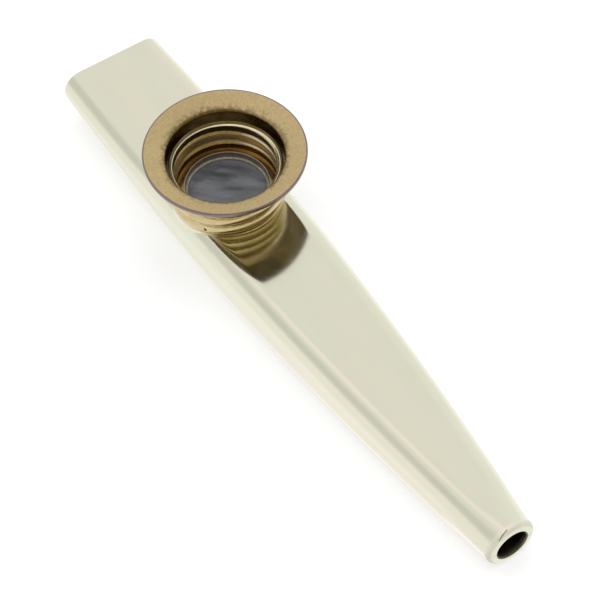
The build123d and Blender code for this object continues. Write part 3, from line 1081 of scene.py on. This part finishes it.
def film_material(finish, axis_x):
    """Thin grey film: glossy, with long paler streaks of painted sheen."""
    material, tree, place = new_material("grey_film")
    centred = mapped(tree, place, Location=(-axis_x, 0.0, STREAK_SHIFT))
    sockets = {"Vector": centred, "Angle": STREAK_TURN}
    turned_round = add_node(tree, "ShaderNodeVectorRotate", sockets, rotation_type="Z_AXIS")[0]
    stretched = mapped(tree, turned_round, Scale=(0.25, 1.0, 1.0))
    sheen_streak = spread_range(tree, noise(tree, stretched, 420.0, 4.0), 0.4, 0.62)
    return finished(material, {
        "Base Color": mix_colours(tree, sheen_streak, opaque(finish.film), opaque(finish.film_sheen)),
        "Roughness": spread_range(tree, sheen_streak, 0.0, 1.0, 0.16, 0.34),
        "Coat Weight": 0.4,
        "Coat Roughness": 0.08,
    })


def settings(context):
    """Sizes of the body, sizes of the turret, and the finishes."""
    return context.scene.kazoo_body, context.scene.kazoo_turret, context.scene.kazoo_finish


class KAZOO_OT_upper_shell(bpy.types.Operator):
    """Build the upper half of the tube, with the seat of the turret"""

    bl_idname = "kazoo.upper_shell"
    bl_label = "Upper shell"

    def execute(self, context):
        body, turret, finish = settings(context)
        materials = [tin_material(finish, body), tin_inside_material(finish)]
        surface = upper_shell_surface(body, turret)
        add_piece("upper_half", surface, materials, "body", "upper_shell")
        return {"FINISHED"}


class KAZOO_OT_lower_shell(bpy.types.Operator):
    """Build the lower half of the tube, stepped in to lap inside the upper half"""

    bl_idname = "kazoo.lower_shell"
    bl_label = "Lower shell"

    def execute(self, context):
        materials = [bpy.data.materials["polished_tin"], bpy.data.materials["dull_shaded_tin"]]
        surface = lower_shell_surface(context.scene.kazoo_body)
        add_piece("lower_half", surface, materials, "body", "lower_shell")
        return {"FINISHED"}


class KAZOO_OT_collar(bpy.types.Operator):
    """Build the threaded collar that stands on the tube"""

    bl_idname = "kazoo.collar"
    bl_label = "Collar"

    def execute(self, context):
        body, turret, finish = settings(context)
        brass = finish.collar, finish.brass_shade, finish.brass_gloss
        # The pit's dark brass is painted shade
        pit = finish.under, finish.rim, finish.flare_gloss
        materials = [
            rolled_brass_material("collar_brass", *brass, turret.axis_x, 0.8),
            rolled_brass_material("pit_shade_brass", *pit, turret.axis_x, 0.0),
        ]
        add_piece("collar", collar_surface(body, turret), materials, "body", "turret_collar")
        return {"FINISHED"}


class KAZOO_OT_membrane(bpy.types.Operator):
    """Build the buzzing film and the card ring that carries it"""

    bl_idname = "kazoo.membrane"
    bl_label = "Membrane"

    def execute(self, context):
        _, turret, finish = settings(context)
        bore = (CARD_HIGH.x - CARD_LOW.x) / 2 - turret.card_width
        film = film_surface(turret, bore)
        add_piece("film", film, [film_material(finish, turret.axis_x)], "body", "membrane_film")
        card = ring_surface(turret, CARD_LOW, CARD_HIGH, bore, turret.card_round, FACE)
        add_piece("card_ring", card, [card_material(finish)], "body", "membrane_ring")
        return {"FINISHED"}


class KAZOO_OT_clamp_ring(bpy.types.Operator):
    """Build the loose ring between the card and the cap"""

    bl_idname = "kazoo.clamp_ring"
    bl_label = "Clamp ring"

    def execute(self, context):
        _, turret, finish = settings(context)
        bore = (CLAMP_HIGH.x - CLAMP_LOW.x) / 2 - turret.clamp_width
        ring = ring_surface(turret, CLAMP_LOW, CLAMP_HIGH, bore, turret.clamp_round, BORE)
        # The clamp ring's darkened brass is painted shade under the cap
        brass = finish.clamp, finish.rim, finish.clamp_gloss
        materials = [
            rolled_brass_material("shaded_clamp_brass", *brass, turret.axis_x, 0.3),
            rim_material("clamp_edge", finish.clamp_edge, finish.rim, turret.axis_x),
        ]
        add_piece("loose_ring", ring, materials, "ring", "clamp_ring")
        return {"FINISHED"}


class KAZOO_OT_cap(bpy.types.Operator):
    """Build the flared screw cap"""

    bl_idname = "kazoo.cap"
    bl_label = "Cap"

    def execute(self, context):
        body, turret, finish = settings(context)
        brass = finish.brass, finish.brass_shade, finish.cap_gloss
        # Dark brass for the throat, the upper grooves and under the flare: painted shade
        shade_paint = finish.under, finish.rim, finish.brass_gloss
        materials = [
            rolled_brass_material("cap_brass", *brass, turret.axis_x, 0.3),
            flare_material(finish, turret),
            rim_material("rim_edge", finish.rim, finish.flare_shade, turret.axis_x),
            rolled_brass_material("shaded_under_brass", *shade_paint, turret.axis_x, 0.3),
        ]
        add_piece("flared_cap", cap_surface(body, turret), materials, "cap", "turret_cap")
        return {"FINISHED"}


def floor_material(stage):
    """White floor that keeps the part's shadow."""
    material, tree, _ = new_material("stage_floor")
    seen = tree.nodes.new("ShaderNodeLightPath").outputs["Is Camera Ray"]
    return finished(material, {
        "Base Color": opaque(stage.floor),
        "Roughness": 0.9,
        "Specular IOR Level": 0.1,
        "Emission Color": WHITE,
        "Emission Strength": maths(tree, "MULTIPLY", seen, stage.floor_lift),
    })


def studio_world(stage):
    """Soft white tent, open on one side: plain light for the part and white for the camera.

    Metal sees a brighter floor and far wall, a greyer near wall, a warm strip of roof, and dusk under a dark
    top through the open side.
    """
    world = bpy.data.worlds.new("studio")
    world.use_nodes = True
    tree = world.node_tree
    tree.nodes.clear()
    path = tree.nodes.new("ShaderNodeLightPath").outputs
    direction = tree.nodes.new("ShaderNodeTexCoord").outputs["Generated"]
    along, across, up = separate(tree, direction)

    def both(first, second):
        return maths(tree, "MULTIPLY", first, second)

    near_wall = both(band(tree, up, *NEAR_WALL_UP), spread_range(tree, across, *NEAR_WALL_ACROSS))
    warm_roof = both(band(tree, across, *WARM_ACROSS), spread_range(tree, along, *WARM_ALONG))
    open_side = both(spread_range(tree, along, *OPEN_ALONG), band(tree, up, *OPEN_UP))
    floor = spread_range(tree, up, *FLOOR_UP, 1.0 + stage.floor_glow, 1.0)
    far_wall = spread_range(tree, across, *FAR_WALL_ACROSS, 0.0, stage.wall_glow)
    tent = maths(tree, "ADD", floor, far_wall)
    tent = maths(tree, "SUBTRACT", tent, both(near_wall, stage.wall_shade))
    roof = mix_colours(tree, warm_roof, WHITE, opaque(stage.warm))
    view = mix_colours(tree, spread_range(tree, up, *DARK_UP), opaque(stage.dusk), opaque(stage.dark))
    cast = mix_colours(tree, open_side, roof, view)
    light, seen, mirrored = (
        add_node(tree, "ShaderNodeBackground", {"Color": colour, "Strength": strength})[0]
        for colour, strength in ((WHITE, stage.fill), (WHITE, 1.0), (cast, tent)))
    glossy = maths(tree, "MAXIMUM", path["Is Glossy Ray"], path["Is Transmission Ray"])
    unseen = add_node(tree, "ShaderNodeMixShader", {0: glossy, 1: light, 2: mirrored})[0]
    surface = add_node(tree, "ShaderNodeMixShader", {0: path["Is Camera Ray"], 1: unseen, 2: seen})[0]
    add_node(tree, "ShaderNodeOutputWorld", {"Surface": surface})
    return world


def camera_matrix(stage, height):
    """Camera that looks at the middle of the roof from its azimuth and elevation, leaning by its roll."""
    level = math.cos(stage.elevation)
    side, ahead = math.sin(stage.azimuth), math.cos(stage.azimuth)
    back = np.array([side * level, -ahead * level, math.sin(stage.elevation)])
    right = np.array([ahead, side, 0.0])
    up = np.cross(back, right)
    lean, straight = math.sin(stage.roll), math.cos(stage.roll)
    right, up = right * straight + up * lean, up * straight - right * lean
    place = back * stage.distance + right * stage.aim_right + up * stage.aim_up + [0, 0, height]
    columns = np.stack([right, up, back, place], 1)
    return Matrix([*columns.tolist(), [0, 0, 0, 1]])


class KAZOO_OT_stage(bpy.types.Operator):
    """Build the floor, the light and the camera"""

    bl_idname = "kazoo.stage"
    bl_label = "Stage"

    def execute(self, context):
        scene = context.scene
        stage = scene.kazoo_stage
        mesh = bpy.data.meshes.new("floor")
        turn = np.linspace(0, FULL_TURN, FLOOR_STEPS, endpoint=False)
        disc = stage.floor_radius * np.stack([np.cos(turn), np.sin(turn), 0 * turn], 1)
        mesh.from_pydata(disc.tolist(), [], [list(range(FLOOR_STEPS))])
        mesh.materials.append(floor_material(stage))
        floor = add_object("floor", mesh)
        floor.visible_glossy = False
        scene.world = studio_world(stage)
        lamp = bpy.data.lights.new("overhead", "AREA")
        lamp.energy = stage.key
        lamp.size = stage.key_size
        overhead = add_object("overhead", lamp)
        overhead.location = (0, 0, stage.key_height)
        overhead.visible_glossy = False
        view = bpy.data.cameras.new("camera")
        view.lens = stage.lens
        view.sensor_width = stage.sensor
        view.clip_start = stage.distance * CLIP_SHARE
        scene.camera = add_object("camera", view)
        scene.camera.matrix_world = camera_matrix(stage, scene.kazoo_body.height)
        scene.view_settings.view_transform = "Standard"
        return {"FINISHED"}


class KAZOO_PT_pieces(bpy.types.Panel):
    """Lists the pieces and their sizes"""

    bl_idname = "KAZOO_PT_pieces"
    bl_label = "Kazoo"
    bl_space_type = "VIEW_3D"
    bl_region_type = "UI"
    bl_category = "Kazoo"

    def draw(self, context):
        for operator in OPERATORS:
            self.layout.operator(operator.bl_idname)
        for name, kind in GROUPS.items():
            box = self.layout.box()
            for key in kind.__annotations__:
                box.prop(getattr(context.scene, name), key)


GROUPS = {
    "kazoo_body": KazooBodySizes,
    "kazoo_turret": KazooTurretSizes,
    "kazoo_finish": KazooFinishes,
    "kazoo_stage": KazooStage,
}
OPERATORS = (
    KAZOO_OT_upper_shell,
    KAZOO_OT_lower_shell,
    KAZOO_OT_collar,
    KAZOO_OT_membrane,
    KAZOO_OT_clamp_ring,
    KAZOO_OT_cap,
    KAZOO_OT_stage,
)


def register():
    """Register the property groups, the operators and the panel."""
    for kind in (*GROUPS.values(), *OPERATORS, KAZOO_PT_pieces):
        bpy.utils.register_class(kind)
    for name, kind in GROUPS.items():
        setattr(bpy.types.Scene, name, PointerProperty(type=kind))


def unregister():
    """Undo register."""
    for name in GROUPS:
        delattr(bpy.types.Scene, name)
    for kind in reversed((*GROUPS.values(), *OPERATORS, KAZOO_PT_pieces)):
        bpy.utils.unregister_class(kind)


def main():
    """Build every piece and the stage."""
    register()
    bpy.ops.kazoo.upper_shell()
    bpy.ops.kazoo.lower_shell()
    bpy.ops.kazoo.collar()
    bpy.ops.kazoo.membrane()
    bpy.ops.kazoo.clamp_ring()
    bpy.ops.kazoo.cap()
    bpy.ops.kazoo.stage()


if __name__ == "__main__":
    main()
